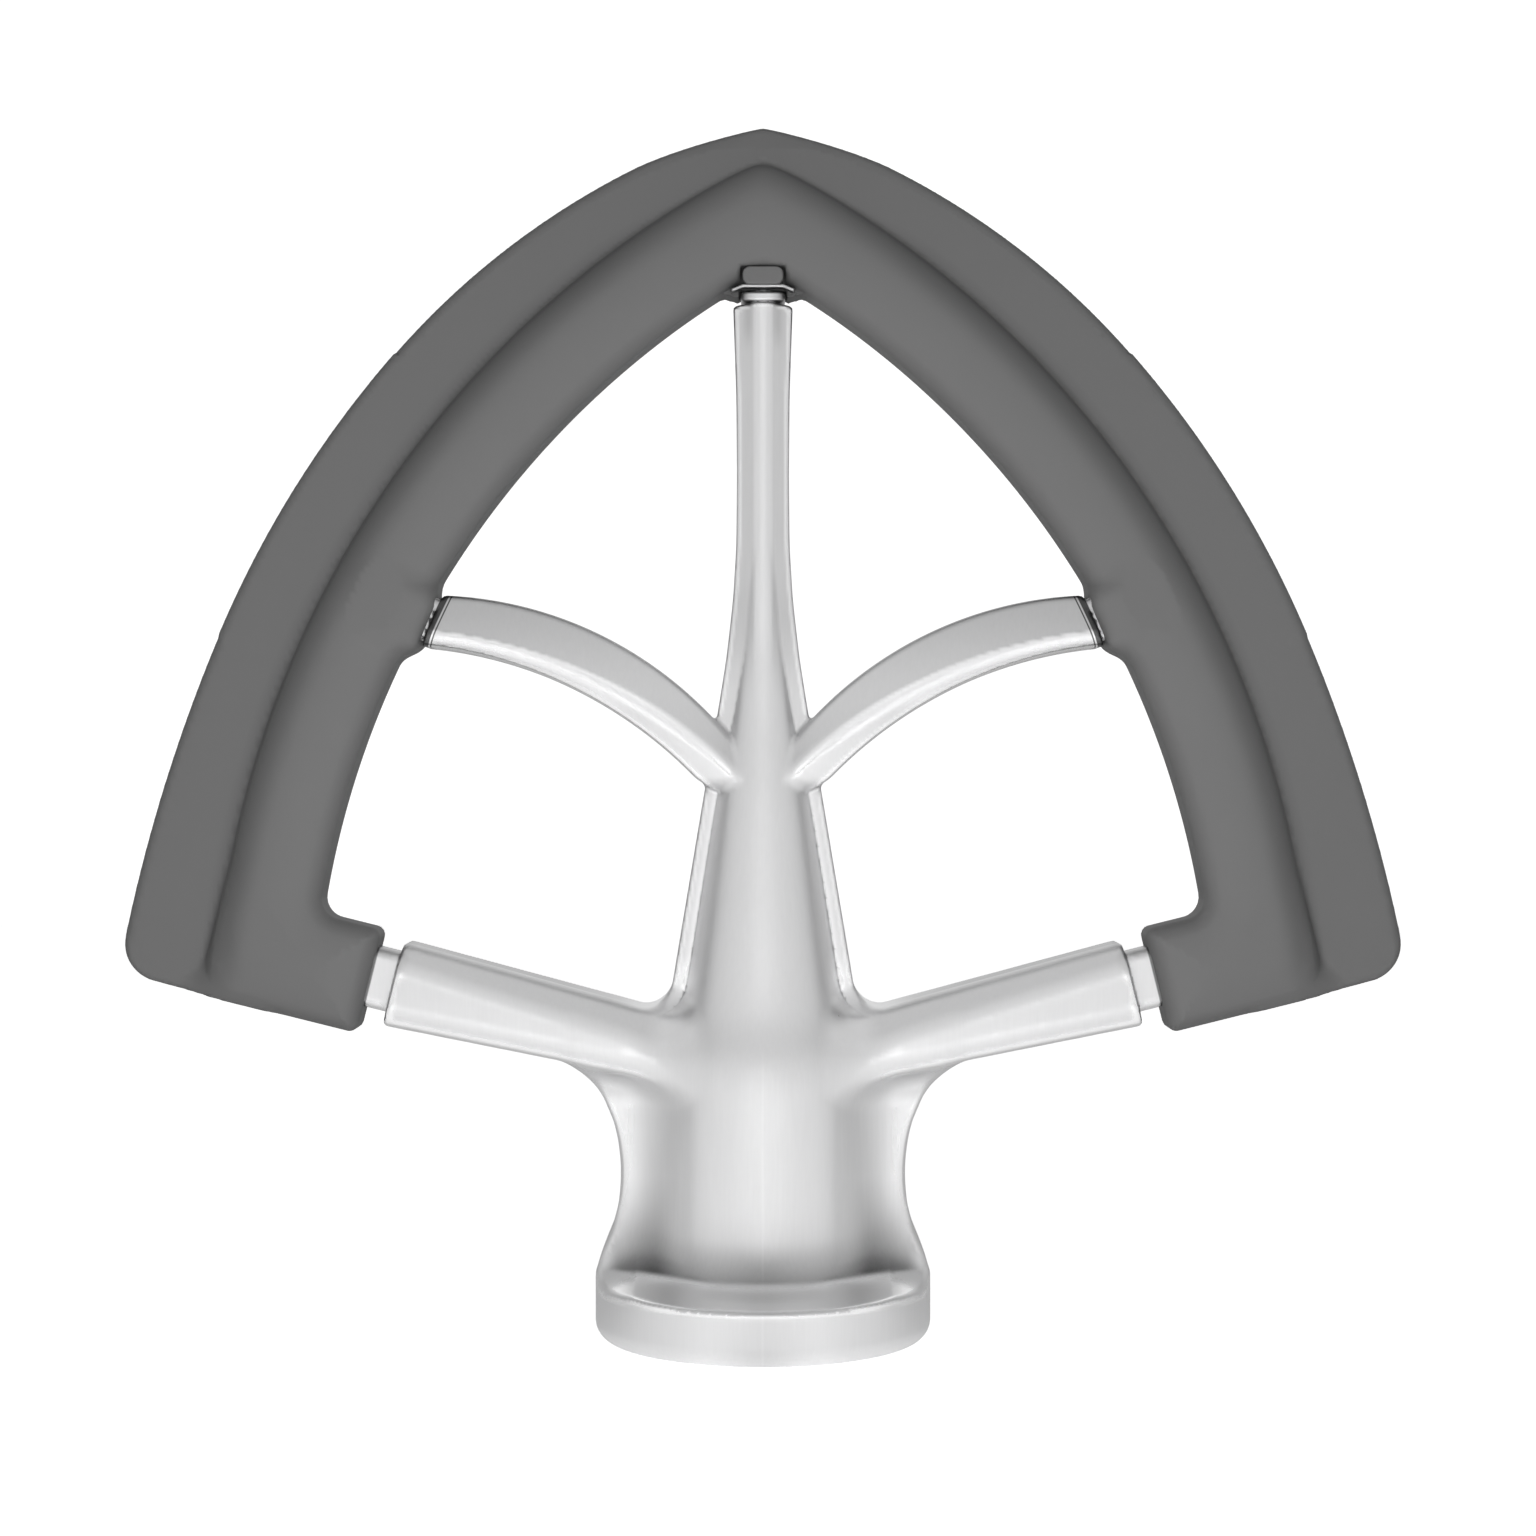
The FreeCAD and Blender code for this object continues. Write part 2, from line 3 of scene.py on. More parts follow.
import bpy
import numpy as np
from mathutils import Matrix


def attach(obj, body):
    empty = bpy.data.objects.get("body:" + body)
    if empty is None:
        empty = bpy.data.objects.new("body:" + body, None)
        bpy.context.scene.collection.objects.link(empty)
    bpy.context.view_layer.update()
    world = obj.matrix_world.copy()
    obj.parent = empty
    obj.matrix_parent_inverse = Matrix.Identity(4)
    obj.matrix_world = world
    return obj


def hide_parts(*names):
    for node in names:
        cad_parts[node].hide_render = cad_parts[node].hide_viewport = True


# Looks of a flat beater: a burnished aluminium casting with a soft silicone edge moulded round it.
# Both pieces are worked out as distance fields in millimetres, because every arm, fin and web of the
# casting runs into its neighbours through a soft fillet, which a grid of two parameters can't give.
# A field is negative inside the piece and positive outside. Right and left, front and back mirror each
# other, so the fields read the distances from the two middle planes.

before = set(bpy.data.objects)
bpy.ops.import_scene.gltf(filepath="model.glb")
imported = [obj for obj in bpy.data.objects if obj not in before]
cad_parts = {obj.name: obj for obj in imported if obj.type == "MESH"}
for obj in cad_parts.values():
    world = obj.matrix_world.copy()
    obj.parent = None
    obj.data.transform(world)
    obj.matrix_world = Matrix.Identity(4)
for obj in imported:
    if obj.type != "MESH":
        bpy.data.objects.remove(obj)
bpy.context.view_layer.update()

METRES = 0.001

# Rim of the pointed arch
rim_center = (-52.1, 34.0)
rim_radius = 111.0
roll_half_width = 5.8
roll_half_depth = 5.5
roll_outer_width = 5.6
tip_softness = 1.5
roll_round = 1.8
roll_outer_round = 4.6

# Lower arms, given along and above their own axis, and upper arms, given on a radius of the rim
lower_slope = math.radians(14.0)
lower_axis_z = 31.03
lower_end = 44.38
upper_angle = math.radians(28.9)
upper_end_radius = 103.55
upper_end_lean = 0.12


def round_union(a, b, radius):
    """Both solids, with a hollow fillet where they meet: the smaller distance, and near both surfaces
    the distance to a quarter circle of that radius."""
    corner = np.hypot(np.maximum(radius - a, 0), np.maximum(radius - b, 0))
    return np.maximum(radius, np.minimum(a, b)) - corner


def round_overlap(a, b, radius):
    """What both solids share, its edge rounded: a round union turned inside out."""
    return -round_union(-a, -b, radius)


def smooth_step(value, low, high):
    share = np.clip((value - low) / (high - low), 0, 1)
    return share ** 2 * (3 - 2 * share)


def between(value, start, full, full_end, end):
    """1 inside a range, fading smoothly to 0 on both sides of it."""
    return smooth_step(value, start, full) * (1 - smooth_step(value, full_end, end))


def hump(value, middle, width):
    """Bell curve: 1 at its middle, falling off with the square of the way from it."""
    return np.exp(-((value - middle) / width) ** 2)


def slope_plane(across, along, first, second):
    """Distance to the straight line through two points (across, along), positive on its right-hand side
    as it runs from the first to the second."""
    run = (second[0] - first[0], second[1] - first[1])
    return ((across - first[0]) * run[1] - (along - first[1]) * run[0]) / math.hypot(*run)


def arc_through(first, middle, last):
    """Centre and radius of the circle through three points."""
    (ax, az), (bx, bz), (cx, cz) = first, middle, last
    double = 2 * (ax * (bz - cz) + bx * (cz - az) + cx * (az - bz))
    squares = [p[0] ** 2 + p[1] ** 2 for p in (first, middle, last)]
    x = (squares[0] * (bz - cz) + squares[1] * (cz - az) + squares[2] * (az - bz)) / double
    z = (squares[0] * (cx - bx) + squares[1] * (ax - cx) + squares[2] * (bx - ax)) / double
    return (x, z), math.hypot(ax - x, az - z)


def smooth_profile(points, reach=3.0):
    """Half-width by height through a few points: straight between them, then averaged over a short reach
    so that no corner is left. Returns the heights and the half-widths as a fine table."""
    step = 0.25
    heights = np.arange(points[0][0] - 2 * reach, points[-1][0] + 2 * reach, step)
    known = np.array(points, float)
    first = (known[1, 1] - known[0, 1]) / (known[1, 0] - known[0, 0])
    widths = np.interp(heights, known[:, 0], known[:, 1])
    widths += np.minimum(heights - known[0, 0], 0) * first
    window = np.hanning(int(2 * reach / step) + 1)
    padded = np.pad(widths, len(window) // 2, "edge")
    return heights, np.convolve(padded, window / window.sum(), "valid")


def profile_width(z, profile):
    return np.interp(z, *profile)


def box_field(x, y, z, half, radius):
    """Distance to a box with rounded edges, from its half sizes."""
    q = [np.abs(v) - (h - radius) for v, h in zip((x, y, z), half)]
    outside = np.sqrt(sum(np.maximum(v, 0) ** 2 for v in q))
    return outside + np.minimum(np.maximum(np.maximum(q[0], q[1]), q[2]), 0) - radius


def lower_axes(x, z):
    """Places along and above the lower arm's sloping axis."""
    up = z - lower_axis_z
    return (x * math.cos(lower_slope) + up * math.sin(lower_slope),
            up * math.cos(lower_slope) - x * math.sin(lower_slope))


def upper_axes(x, z):
    """Places along and above the upper arm's radius of the rim."""
    dx, dz = x - rim_center[0], z - rim_center[1]
    return (dx * math.cos(upper_angle) + dz * math.sin(upper_angle),
            dz * math.cos(upper_angle) - dx * math.sin(upper_angle))


# Casting. Where a face slopes, a factor below 1 keeps its field near the true distance.

collar_radius = 19.65
collar_height = 6.35
collar_slope = 0.31
collar_bottom_round = 2.4
hub_floor = 1.0
hub_foot_top = 14.0
foot_spread = 2.3
foot_height = 8.1
foot_fade = 1.9
web_half_depth = 3.0
web_rim = 19.2
web_rim_fade = 4.5
web_fillet = 5.5
fin_half_depth = 2.2
fin_bottom = 34.0
dome_center_z = 109.35
dome_radius = 12.0
dome_bottom = 115.0
ridge_depth = 5.0
top_edge_setback = 1.9
bottom_edge_setback = 1.3
arm_inner_cut = 63.9
arm_root_fillet = 4.0
core_profile = smooth_profile([(0.0, 12.0), (33.0, 12.0), (37.6, 9.95), (42.0, 9.06), (63.1, 5.86),
                               (72.5, 4.13), (81.9, 2.9), (92.5, 2.4), (122.0, 2.4)], 4.0)
fin_profile = smooth_profile([(36.0, 11.55), (41.4, 10.65), (58.2, 7.85), (74.9, 5.05), (79.6, 4.3),
                              (86.6, 3.5), (93.0, 3.12), (101.0, 3.05), (110.0, 3.12), (117.0, 3.35),
                              (122.5, 3.55)])
web_profile = smooth_profile([(1.0, 19.7), (7.0, 19.6), (9.1, 19.3), (11.4, 18.45), (13.8, 17.45),
                              (16.1, 16.8), (18.5, 16.55), (20.8, 16.55), (23.2, 16.85), (25.5, 17.4),
                              (30.2, 19.4), (34.0, 21.6)], 1.5)
arm_bevel = smooth_profile([(0.0, 6.5), (8.0, 5.2), (11.5, 4.5), (16.6, 3.4), (44.7, 2.67)])
arm_chin = smooth_profile([(0.0, 0.6), (8.4, 1.2), (15.7, 1.2), (44.7, 1.43)])
top_arc = arc_through((38.5, 87.08), (22.0, 83.82), (4.0, 70.70))
ridge_arc = arc_through((39.5, 82.4), (22.1, 78.1), (2.0, 65.2))
bottom_arc = arc_through((40.3, 81.09), (24.0, 76.95), (8.0, 65.84))


def foot_flare(z):
    """How far the barrel and the webs spread towards their foot, and how steeply. Both fade
    exponentially with height."""
    spread = foot_spread * np.exp(-np.maximum(z - foot_height, -3.0) / foot_fade)
    return spread, spread / foot_fade


def hub_field(x, y, z):
    """Barrel, soft shoulder and tapering core in one turned form, two webs, and the collar, on whose
    slightly conical face they all stand with concave feet. A web's foot spreads less towards the rim."""
    away = np.hypot(x, y)
    spread, steep = foot_flare(z)
    core = (away - profile_width(z, core_profile) - spread) * 0.98 / np.sqrt(1 + steep ** 2)
    core = np.maximum(core, hub_floor - z)
    _, above = lower_axes(x, z)
    flank = (x - profile_width(z, web_profile)) * 0.96
    share = np.clip((web_rim - x) / web_rim_fade, 0.05, 1.0)
    face = (np.abs(y) - web_half_depth - spread * share) / np.sqrt(1 + (steep * share) ** 2)
    web = round_overlap(round_overlap(flank, face, 0.9), np.maximum(above, hub_floor - z), 0.5)
    upright = round_union(core, web, web_fillet)
    cone = (z - collar_height - collar_slope * (collar_radius - away)) * 0.955
    foot = round_overlap(round_union(upright, cone, 0.5), away - collar_radius, 0.7)
    return np.where(z < hub_foot_top, round_overlap(foot, -z, collar_bottom_round), upright)


def fin_field(x, y, z):
    """Flat fin on each side of the core."""
    fin = round_overlap((x - profile_width(z, fin_profile)) * 0.985, np.abs(y) - fin_half_depth, 0.35)
    return np.maximum(fin, fin_bottom - z)


def spine_field(x, y, z):
    """Hub and fins, as far as the domed head of the stem."""
    spine = round_union(hub_field(x, y, z), fin_field(x, y, z), 0.15)
    dome = np.hypot(x, z - dome_center_z) - dome_radius
    return np.where(z > dome_bottom, round_overlap(spine, dome, 0.35), spine)


def lower_arm_field(x, y, z):
    """Straight arm, deeper at the hub, with a bevel along its top that widens towards the hub, and a
    smaller one below. Its height and depth change in proportion to the place along it."""
    along, above = lower_axes(x, z)
    share = np.clip(along / lower_end, 0, 1.2)
    top, bottom, half = 4.0 + share, 2.5 + 2.5 * share, 8.2 - 3.2 * share
    bevel = profile_width(along, arm_bevel)
    chin = profile_width(along, arm_chin)
    y = np.abs(y)
    upper = (above - top + bevel) * 0.58 + (y - half) * 0.81
    lower = (-bottom - above + chin) * 0.57 + (y - half) * 0.82
    bar = round_overlap(above - top, round_overlap(upper, y - half, 0.8), 0.8)
    bar = round_overlap(round_overlap(bar, lower, 0.9), -bottom - above, 0.6)
    return round_overlap(bar, along - lower_end, 0.6)


def arc_distance(x, z, arc):
    (cx, cz), radius = arc
    return np.hypot(x - cx, z - cz) - radius


def upper_arm_field(x, y, z):
    """Arched arm with a roof section: its two faces slope back from a ridge to the top and bottom edges.
    Its inner end is cut level inside the core, and its outer end leans."""
    top, ridge, bottom = (arc_distance(x, z, arc) for arc in (top_arc, ridge_arc, bottom_arc))
    front = np.abs(y) - ridge_depth
    over = top_edge_setback * ridge / np.maximum(ridge - top, 0.5)
    under = -bottom_edge_setback * ridge / np.maximum(bottom - ridge, 0.5)
    roof = round_overlap((front + over) * 0.92, (front + under) * 0.96, 0.9)
    bar = round_overlap(round_overlap(roof, top, 0.5), -bottom, 0.4)
    bar = round_overlap(bar, arm_inner_cut - z, 2.2)
    out, over = upper_axes(x, z)
    return round_overlap(bar, out - upper_end_radius - upper_end_lean * over, 0.4)


def neck_field(along, above, y, start, end, half, depth, radius):
    """Rounded bar along an arm's axis."""
    middle = (start + end) / 2
    return box_field(along - middle, above, y, ((end - start) / 2, half, depth), radius)


bore_radius = 6.35
bore_depth = 30.0
bore_lead = 0.6
slot_half_width = 2.6
slot_reach = 8.95
slot_top = 17.5
turn_bottom = 11.9
turn_start = 90.0
turn_end = 138.0


def bore_field(x, y, z):
    """Blind shaft bore with its lead-in, and the slot and turn that take the drive pin."""
    away = np.hypot(x, y)
    bore = np.maximum(away - bore_radius, z - bore_depth)
    lead = (away - bore_radius - bore_lead + z) * 0.707
    reach = np.maximum(away - slot_reach, z - slot_top)
    slot = np.maximum(np.maximum(np.abs(x) - slot_half_width, -y), reach)
    turned = np.degrees(np.arctan2(y, x))
    turn = np.maximum(np.maximum(turn_start - turned, turned - turn_end) * 0.1, turn_bottom - z)
    return np.minimum(np.minimum(bore, lead), np.minimum(slot, np.maximum(turn, reach)))


def casting_field(x, y, z):
    """The frame as far as the stem's head: hub, spine and two pairs of arms with their necks."""
    side = np.abs(x)
    along, above = lower_axes(side, z)
    neck = neck_field(along, above, y, start=40.0, end=50.0, half=3.6, depth=2.6, radius=1.4)
    lower = round_union(lower_arm_field(side, y, z), neck, 0.3)
    out, over = upper_axes(side, z)
    neck = neck_field(out, over, y, start=102.9, end=107.0, half=2.6, depth=3.6, radius=0.8)
    upper = round_union(upper_arm_field(side, y, z), neck, 0.1)
    solid = round_union(spine_field(side, y, z), lower, arm_root_fillet)
    solid = round_union(solid, upper, 0.6)
    return round_overlap(solid, -bore_field(x, y, z), 0.2)


ring_z = 122.0
ring_half_height = 0.5
ring_half_width = 2.6
ring_half_depth = 2.9
ring_corner = 1.0
seat_neck_z = 124.0
seat_neck_half = 4.0
seat_neck_radius = 2.2
flange_z = 123.05
flange_half_width = 3.7
flange_half_depth = 3.9
flange_half_height = 0.2
flange_droop = 0.5


def seat_field(x, y, z):
    """Ring, neck and flange on the stem's head, which carry the tip of the arch. The flange is a thin
    plate whose two ends bend down."""
    away = np.hypot(x, y)
    side, deep = np.abs(x), np.abs(y)
    past_width = np.maximum(side - ring_half_width + ring_corner, 0)
    past_depth = np.maximum(deep - ring_half_depth + ring_corner, 0)
    block = np.hypot(past_width, past_depth) - ring_corner
    ring = round_overlap(np.abs(z - ring_z) - ring_half_height, block, 0.3)
    neck = np.maximum(np.abs(z - seat_neck_z) - seat_neck_half, away - seat_neck_radius)
    middle = flange_z - flange_droop * smooth_step(side, 2.1, flange_half_width)
    outline = np.maximum(side - flange_half_width, deep - flange_half_depth)
    plate = round_overlap((np.abs(z - middle) - flange_half_height) * 0.9, outline, 0.15)
    return np.minimum(np.minimum(ring, neck), plate)


# Silicone

# Arcs of the free edge: centre, radius and the angle in degrees above which each one rules
free_arcs = [((-26.0, 55.2), 91.9, 41.2), ((-49.3, 34.8), 123.0, 22.8), ((-112.5, 8.2), 191.46, None)]
tip_height = 142.45
tip_slope = 0.21
stub_start = 47.28
stub_far = 66.6
stub_above = 5.7
stub_below = 6.75
blade_half_depth = 1.0
blade_root_extra = 0.8
free_edge_half_depth = 0.75
boss_out = 108.0
boss_drop = 0.9
boss_half = (4.0, 3.4, 4.9)
pocket_top = 125.3
pocket_half_width = 2.5
tip_wall_half = 2.2
tip_wall_bottom = 121.7
tip_wall_top = 125.0
plug_z = 124.15
plug_half = (2.35, 4.6, 1.03)


def rim_distance(x, z):
    """Distance past the rim's arc."""
    return np.hypot(x - rim_center[0], z - rim_center[1]) - rim_radius


def free_edge_field(x, z):
    """Distance past the blade's free edge: three arcs that touch, each ruling above its own angle, and a
    flatter line on each side of the tip."""
    distance = None
    for (cx, cz), radius, above in reversed(free_arcs):
        arc = np.hypot(x - cx, z - cz) - radius
        if distance is None:
            distance = arc
        else:
            turned = np.degrees(np.arctan2(z - cz, x - cx))
            distance = np.where(turned > above, arc, distance)
    ridge = (z - tip_height + tip_slope * np.sqrt(x ** 2 + 1.0)) * 0.98
    return round_overlap(distance, ridge, 2.0)


def blade_field(x, y, z, rim):
    """Plate outside the rim, thinner at its free edge, where it also tapers over the last two millimetres."""
    free = free_edge_field(x, z)
    _, above = lower_axes(x, z)
    width = np.maximum(-free, 0) + np.maximum(rim - roll_half_width, 0) + 0.01
    half = blade_half_depth + blade_root_extra * np.clip(-free / width, 0, 1)
    half = np.minimum(half, free_edge_half_depth - free * 0.3)
    outline = round_overlap(round_overlap(free, -stub_below - above, 4.4), -rim, 0.5)
    return round_overlap(outline, np.abs(y) - half, 0.7)


def roll_field(x, y, z, rim):
    """Roll round the rim and its closed end along the lower arm's axis. Their shared outline has a hollow
    corner and a tight edge where they face the inside of the arch, with a face that slopes back before it,
    and a wide rounding where the blade leaves."""
    along, above = lower_axes(x, z)
    bar = round_overlap(stub_start - along, np.maximum(above - stub_above, -stub_below - above), 1.1)
    inner = round_union(np.maximum(-roll_half_width - rim, -above), bar, 2.2)
    outer = rim - roll_outer_width
    outer = np.where(above < 15.5, np.minimum(outer, along - stub_far), outer)
    front = np.abs(y) - roll_half_depth
    face = round_overlap(front, front * 0.93 + (inner + 3.8) * 0.37, 0.9)
    return round_overlap(inner, round_overlap(outer, face, roll_outer_round), roll_round)


def boss_field(x, y, z):
    """Boss of the roll that takes the upper arm's neck. It leans as the arm's end does."""
    out, over = upper_axes(x, z)
    return box_field(out - boss_out - upper_end_lean * over, over + boss_drop, y, boss_half, 1.4)


def pocket_field(side, deep, z):
    """Open pocket on each face of the tip, which widens downward and towards the face."""
    mouth = pocket_half_width + np.maximum(pocket_top - z, 0) * 0.6 * (deep - tip_wall_half) / 3.3
    return np.maximum(np.maximum((side - mouth) * 0.85, z - pocket_top), tip_wall_half - deep)


def tip_wall_field(side, deep, z):
    """Wall in the tip between the two pockets. Its lower edge slopes and leaves room for the ring."""
    wall = np.maximum(slope_plane(side, z, (2.7, 121.75), (4.8, 122.35)), deep - tip_wall_half)
    wall = np.maximum(wall, np.maximum(tip_wall_bottom - z, np.maximum(side - 6.0, z - tip_wall_top)))
    beside_ring = np.maximum(np.maximum(side - 2.75, z - 122.7), 0.8 - deep)
    return np.maximum(wall, -beside_ring)


def silicone_field(x, y, z):
    """The whole edge: roll, closed ends, bosses and blade, with the seat of the stem in the tip. The crease
    between roll and blade gets softer below the lower arms."""
    side, deep = np.abs(x), np.abs(y)
    rim = rim_distance(side, z)
    soft_rim = rim_distance(np.sqrt(side ** 2 + tip_softness ** 2), z)
    roll = round_union(roll_field(side, y, z, soft_rim), boss_field(side, y, z), 2.4)
    roll = np.maximum(roll, deep - roll_half_depth)
    _, above = lower_axes(side, z)
    crease_round = 0.5 + 2.5 * smooth_step(-above, 2.5, 6.5)
    body = round_union(roll, blade_field(side, y, z, rim), crease_round)
    body = np.maximum(body, -stub_below - above)
    body = round_overlap(body, -pocket_field(side, deep, z), 0.3)
    return round_union(body, tip_wall_field(side, deep, z), 0.3)


def plug_field(x, y, z):
    """Block that closes the pocket over the stem's neck."""
    section = round_overlap(np.abs(x) - plug_half[0], np.abs(z - plug_z) - plug_half[2], 0.85)
    return round_overlap(section, np.abs(y) - plug_half[1], 0.2)


def grid_axis(*runs):
    """Grid places along one axis, from pairs of a start and a step: each run goes on to the next start."""
    return np.concatenate([np.arange(a, b - step / 2, step) for (a, step), (b, _) in zip(runs, runs[1:])])


def both_ways(*runs):
    """The same from the middle plane outward, on both of its sides."""
    half = grid_axis(*runs) + runs[0][1] / 2
    return np.concatenate([-half[::-1], half])


def near_surface(field, axes, block=4, reserve=1.25):
    """Field values on a grid, worked out in full only near the surface: one value for the middle of each
    block of points, and all of its points where that value is no more than the block's own reach, with
    some reserve."""
    blocks = [a[:len(a) // block * block].reshape(-1, block) for a in axes]
    coarse = field(*np.meshgrid(*(b.mean(1) for b in blocks), indexing="ij"))
    reach = np.meshgrid(*(np.ptp(b, axis=1) for b in blocks), indexing="ij")
    near = np.abs(coarse) < reserve * np.sqrt(sum(r ** 2 for r in reach))
    values = np.kron(coarse, np.ones((block,) * 3))
    points = np.nonzero(np.kron(near, np.ones((block,) * 3, bool)))
    axes = [b.ravel() for b in blocks]
    values[points] = field(*(a[i] for a, i in zip(axes, points)))
    return values, axes


def crossed_edges(values, axes, axis):
    """For the grid edges along one axis whose ends lie on both sides of the surface: the four cells round
    each edge, and the place where the surface crosses it."""
    strides = np.array([values.shape[1] * values.shape[2], values.shape[2], 1])
    near = values[tuple(slice(0, -1) if a == axis else slice(None) for a in range(3))]
    far = values[tuple(slice(1, None) if a == axis else slice(None) for a in range(3))]
    index = np.array(np.nonzero((near < 0) != (far < 0))).T
    first, second = near[tuple(index.T)], far[tuple(index.T)]
    left, right = strides[(axis + 1) % 3], strides[(axis + 2) % 3]
    ring = (index @ strides)[:, None] - np.array([0, left, left + right, right])
    ring = np.where((first < 0)[:, None], ring, ring[:, ::-1])
    place = index.astype(float)
    place[:, axis] += first / (first - second)
    return ring, [np.interp(p, np.arange(len(a)), a) for p, a in zip(place.T, axes)]


def skin(field, axes, margin=8, evening=0.6):
    """Closed four-sided mesh of the surface where a field is zero. Each crossed grid edge gives one face
    between its four cells, and each cell's vertex starts at the mean of its crossings. Then the vertices
    slide onto the surface along the field's slope, and in between they even out towards the middles of
    their faces."""
    axes = [np.concatenate([a[0] - (a[1] - a[0]) * np.arange(margin, 0, -1), a,
                            a[-1] + (a[-1] - a[-2]) * np.arange(1, margin + 1)]) for a in axes]
    values, axes = near_surface(field, axes)
    rings, crossings = zip(*(crossed_edges(values, axes, axis) for axis in range(3)))
    crossings = np.concatenate(crossings, axis=1)
    _, corner = np.unique(np.concatenate(rings), return_inverse=True)
    faces = corner.reshape(-1, 4)
    shares = np.bincount(faces.ravel())
    points = np.array([np.bincount(faces.ravel(), np.repeat(c, 4)) for c in crossings]).T / shares[:, None]
    for _ in range(3):
        points = onto_surface(field, points)
        points += evening * (evened(points, faces) - points)
    for _ in range(2):
        points = onto_surface(field, points)
    normals = slope(field, points)
    return points, faces, normals / np.linalg.norm(normals, axis=1)[:, None]


def evened(values, faces):
    """For each vertex the mean of the middles of the faces round it."""
    middles = values[faces].mean(1)
    sums = np.array([np.bincount(faces.ravel(), np.repeat(m, 4)) for m in middles.T]).T
    return sums / np.bincount(faces.ravel())[:, None]


def slope(field, points, step=0.02):
    """Direction in which a field grows fastest, from its change over a short step each way."""
    moves = np.eye(3) * step
    return np.array([field(*(points + m).T) - field(*(points - m).T) for m in moves]).T / (2 * step)


def onto_surface(field, points, limit=0.25):
    """Points moved along the slope to where the field is zero, by no more than a limit."""
    steep = slope(field, points)
    move = field(*points.T) / np.maximum((steep ** 2).sum(1), 0.25)
    return points - steep * np.clip(move, -limit, limit)[:, None]


# Tones: the share of its material's brightness that each place on a piece has, from its distances x, y and
# z from the two middle planes and the floor in millimetres. They are painted light and shade: painted
# highlights on edges and bright faces, painted shade in corners, creases, pockets and gaps.

metal_level = 0.83
metal_darkest = 0.08
# Levels of painted shade on the stem's seat: ring, flange edges, flange and neck.
ring_level = 0.80
flange_edge_level = 0.62
flange_shade_level = 0.25
seat_neck_shade_level = 0.2
silicone_darkest = 0.1


def bend(field, points, faces, step):
    """Sum of the surface's two curvatures per millimetre, from the field's second differences: above zero
    along an edge, below zero in a hollow corner. Evened out twice."""
    around = sum(field(*(points + m).T) for m in np.concatenate([np.eye(3), -np.eye(3)]) * step)
    curve = ((around - 6 * field(*points.T)) / step ** 2)[:, None]
    return evened(evened(curve, faces), faces)[:, 0]


def shelter(field, points, normals, reach):
    """How far the room over the surface is closed in: zero over a plain face, rising towards a corner, as
    the field grows less than the way out from the surface."""
    return 1 - field(*(points + normals * reach).T) / reach


def painted_edge_light(x, z, up, curve):
    """Painted highlights on edges that look forward or down, and painted shade on those that look up. On the
    arms the undersides of the front get a painted highlight, too, and the tops painted shade."""
    edge = (0.19 - 0.28 * smooth_step(up, 0.12, 0.3)) * smooth_step(curve, 0.3, 1.0)
    arm = smooth_step(x, 14.0, 18.0) * (z > 25.0)
    return edge + (0.12 * smooth_step(-up, 0.3, 0.5) - 0.15 * smooth_step(up, 0.7, 0.95)) * arm


def spine_tone(x, y, z, corner):
    """Painted shade in the corners, less of it beside the fins and round the fins' feet, where a painted
    highlight lies instead. The fins get a painted highlight, most of all along the core, until the upper
    arms. Above them painted shade darkens the flat sides of the stem, and a band of painted shade runs down
    each side of its head."""
    beside_fin = between(z, 40.0, 46.0, 84.0, 92.0)
    fin_foot = between(z, 33.0, 37.0, 42.0, 46.0)
    core_face = np.sqrt(np.maximum(profile_width(z, core_profile) ** 2 - y ** 2, 0))
    past_core = x - core_face
    on_fin = smooth_step(z, 39.0, 42.0) * (1 - smooth_step(y, 2.25, 2.4)) * smooth_step(past_core, -0.1, 0.15)
    tone = -corner * (1 - on_fin) * (1 - 0.85 * beside_fin) * (1 - 0.85 * fin_foot)
    tone += 0.12 * fin_foot * between(x, 6.5, 8.5, 11.0, 14.0)
    tone -= 0.10 * on_fin * between(z, 66.0, 71.0, 80.0, 90.0)
    tone += on_fin * (1 - smooth_step(z, 66.0, 72.0)) * (0.13 - 0.22 * np.clip(past_core, 0.25, 1.4))
    tone -= 0.22 * smooth_step(x, 0.9, 1.2) * smooth_step(z, 74.0, 88.0) * smooth_step(y, 1.6, 2.1)
    return tone - 0.12 * hump(x, 1.75, 0.6) * smooth_step(z, 115.0, 119.0)


def hub_tone(x, y, z):
    """Painted light and shade: the barrel is a little darker along its middle and lighter beside it, its webs
    get a painted highlight near their flanks, and painted shade darkens the hollow between them towards the
    collar, as it darkens the foot of the barrel."""
    barrel = (1 - smooth_step(z, 30.0, 36.0)) * (1 - smooth_step(x, 9.0, 11.0))
    tone = barrel * (0.04 * hump(x, 6.5, 2.5) - 0.08 * hump(x, 0.0, 3.0))
    web = (1 - smooth_step(z, 27.0, 32.0)) * smooth_step(z, 8.5, 12.0)
    tone += 0.13 * web * hump(x, 15.4, 1.5) * smooth_step(z, 13.0, 20.0)
    low = np.clip((19.5 - z) / 7.0, 0, 1)
    middle = 12.6 - 0.16 * np.maximum(z - 13.8, 0)
    width = 2.2 + 1.4 * low * (x > middle)
    hollow = 0.10 * (1 - smooth_step(z, 26.0, 32.0)) + 0.21 * low
    tone -= hollow * hump(x, middle, width) * (z > 8.6)
    over_collar = smooth_step(z, 8.3, 8.9) * (1 - smooth_step(np.hypot(x, y), 17.0, 19.0))
    return tone - 0.38 * over_collar * np.clip((19.0 - z) / 10.2, 0, 1) ** 3


